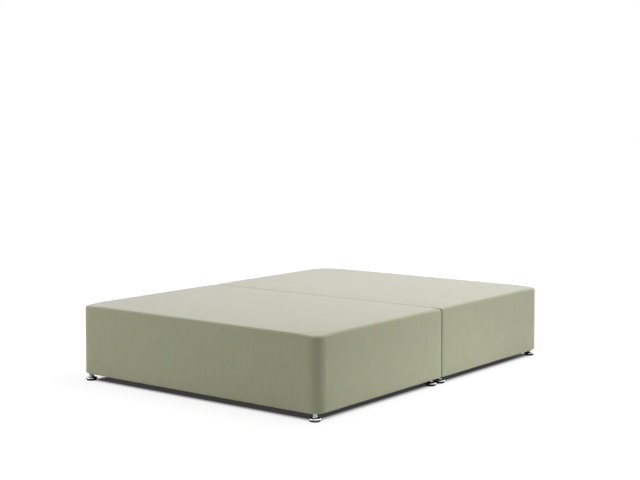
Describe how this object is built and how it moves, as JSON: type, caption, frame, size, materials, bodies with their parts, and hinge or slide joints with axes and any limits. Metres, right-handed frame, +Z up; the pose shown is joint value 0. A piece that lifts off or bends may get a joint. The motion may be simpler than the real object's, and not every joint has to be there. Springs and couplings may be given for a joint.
{
  "type": "divan bed base",
  "caption": "King-size divan bed base in upholstered halves that stand end to end on chrome glides, with swinging link bars underneath and threaded headboard holes at the head end.",
  "frame": {"origin": "on the floor, under the middle of the base in plan, where the two halves meet", "axes": "+X across the width, to the right as seen from the foot end; +Y along the length, from the foot end to the head end; +Z up"},
  "size_m": [1.5, 2, 0.381],
  "materials": {
    "plush_fabric": "short-pile sage green plush",
    "wadding": "white polyester wadding",
    "dust_cloth": "black non-woven cloth",
    "hardboard": "brown hardboard, smooth face",
    "softwood": "sawn pine",
    "chrome": "bright chrome plate",
    "black_plastic": "matt black nylon",
    "zinc_steel": "bright zinc plate"
  },
  "bodies": {
    "foot_half": {"foot_cover": "plush_fabric", "foot_top_pad": "wadding", "foot_border_wadding": "wadding", "foot_dust_cover": "dust_cloth", "foot_top_board": "hardboard", "foot_side_boards": "hardboard", "foot_end_boards": "hardboard", "foot_corner_posts": "softwood", "foot_bottom_end_rail": "softwood", "foot_bottom_link_rail": "softwood", "foot_bottom_cross_rail": "softwood", "foot_side_rails": "softwood", "foot_joists": "softwood", "foot_top_end_rail": "softwood", "foot_top_link_rail": "softwood", "foot_centre_bearer": "softwood", "foot_stiles": "softwood", "foot_glide_nuts": "zinc_steel", "foot_staples": "zinc_steel", "foot_link_bolts": "zinc_steel"},
    "head_half": {"head_cover": "plush_fabric", "head_top_pad": "wadding", "head_border_wadding": "wadding", "head_dust_cover": "dust_cloth", "head_top_board": "hardboard", "head_side_boards": "hardboard", "head_end_boards": "hardboard", "head_corner_posts": "softwood", "head_bottom_end_rail": "softwood", "head_bottom_link_rail": "softwood", "head_bottom_cross_rail": "softwood", "head_side_rails": "softwood", "head_joists": "softwood", "head_top_end_rail": "softwood", "head_top_link_rail": "softwood", "head_centre_bearer": "softwood", "head_stiles": "softwood", "head_glide_nuts": "zinc_steel", "head_staples": "zinc_steel", "head_headboard_nuts": "zinc_steel", "head_link_studs": "zinc_steel"},
    "link_bar_left": {"link_bar_left": "zinc_steel"},
    "link_bar_right": {"link_bar_right": "zinc_steel"},
    "foot_glide_end_right": {"foot_glide_end_right": "chrome", "foot_glide_pad_end_right": "black_plastic"},
    "foot_glide_end_left": {"foot_glide_end_left": "chrome", "foot_glide_pad_end_left": "black_plastic"},
    "foot_glide_split_right": {"foot_glide_split_right": "chrome", "foot_glide_pad_split_right": "black_plastic"},
    "foot_glide_split_left": {"foot_glide_split_left": "chrome", "foot_glide_pad_split_left": "black_plastic"},
    "head_glide_end_right": {"head_glide_end_right": "chrome", "head_glide_pad_end_right": "black_plastic"},
    "head_glide_end_left": {"head_glide_end_left": "chrome", "head_glide_pad_end_left": "black_plastic"},
    "head_glide_split_right": {"head_glide_split_right": "chrome", "head_glide_pad_split_right": "black_plastic"},
    "head_glide_split_left": {"head_glide_split_left": "chrome", "head_glide_pad_split_left": "black_plastic"}
  },
  "joints": [
    {"name": "halves_pull_apart", "type": "slide", "parent": "foot_half", "child": "head_half", "axis": [0, 1, 0], "range_m": [0, 0.3]},
    {"name": "link_bar_right_swing", "type": "hinge", "parent": "foot_half", "child": "link_bar_right", "pos_m": [0.4, -0.0352, 0.0319], "axis": [0, 0, 1], "range_deg": [0, 90]},
    {"name": "link_bar_left_swing", "type": "hinge", "parent": "foot_half", "child": "link_bar_left", "pos_m": [-0.4, -0.0352, 0.0319], "axis": [0, 0, -1], "range_deg": [0, 90]},
    {"name": "foot_glide_end_right_turn", "type": "hinge", "parent": "foot_half", "child": "foot_glide_end_right", "pos_m": [0.71, -0.968, 0.02], "axis": [0, 0, 1], "continuous": true},
    {"name": "foot_glide_end_left_turn", "type": "hinge", "parent": "foot_half", "child": "foot_glide_end_left", "pos_m": [-0.71, -0.968, 0.02], "axis": [0, 0, 1], "continuous": true},
    {"name": "foot_glide_split_right_turn", "type": "hinge", "parent": "foot_half", "child": "foot_glide_split_right", "pos_m": [0.71, -0.0412, 0.02], "axis": [0, 0, 1], "continuous": true},
    {"name": "foot_glide_split_left_turn", "type": "hinge", "parent": "foot_half", "child": "foot_glide_split_left", "pos_m": [-0.71, -0.0412, 0.02], "axis": [0, 0, 1], "continuous": true},
    {"name": "head_glide_end_right_turn", "type": "hinge", "parent": "head_half", "child": "head_glide_end_right", "pos_m": [0.71, 0.968, 0.02], "axis": [0, 0, 1], "continuous": true},
    {"name": "head_glide_end_left_turn", "type": "hinge", "parent": "head_half", "child": "head_glide_end_left", "pos_m": [-0.71, 0.968, 0.02], "axis": [0, 0, 1], "continuous": true},
    {"name": "head_glide_split_right_turn", "type": "hinge", "parent": "head_half", "child": "head_glide_split_right", "pos_m": [0.71, 0.0412, 0.02], "axis": [0, 0, 1], "continuous": true},
    {"name": "head_glide_split_left_turn", "type": "hinge", "parent": "head_half", "child": "head_glide_split_left", "pos_m": [-0.71, 0.0412, 0.02], "axis": [0, 0, 1], "continuous": true}
  ]
}
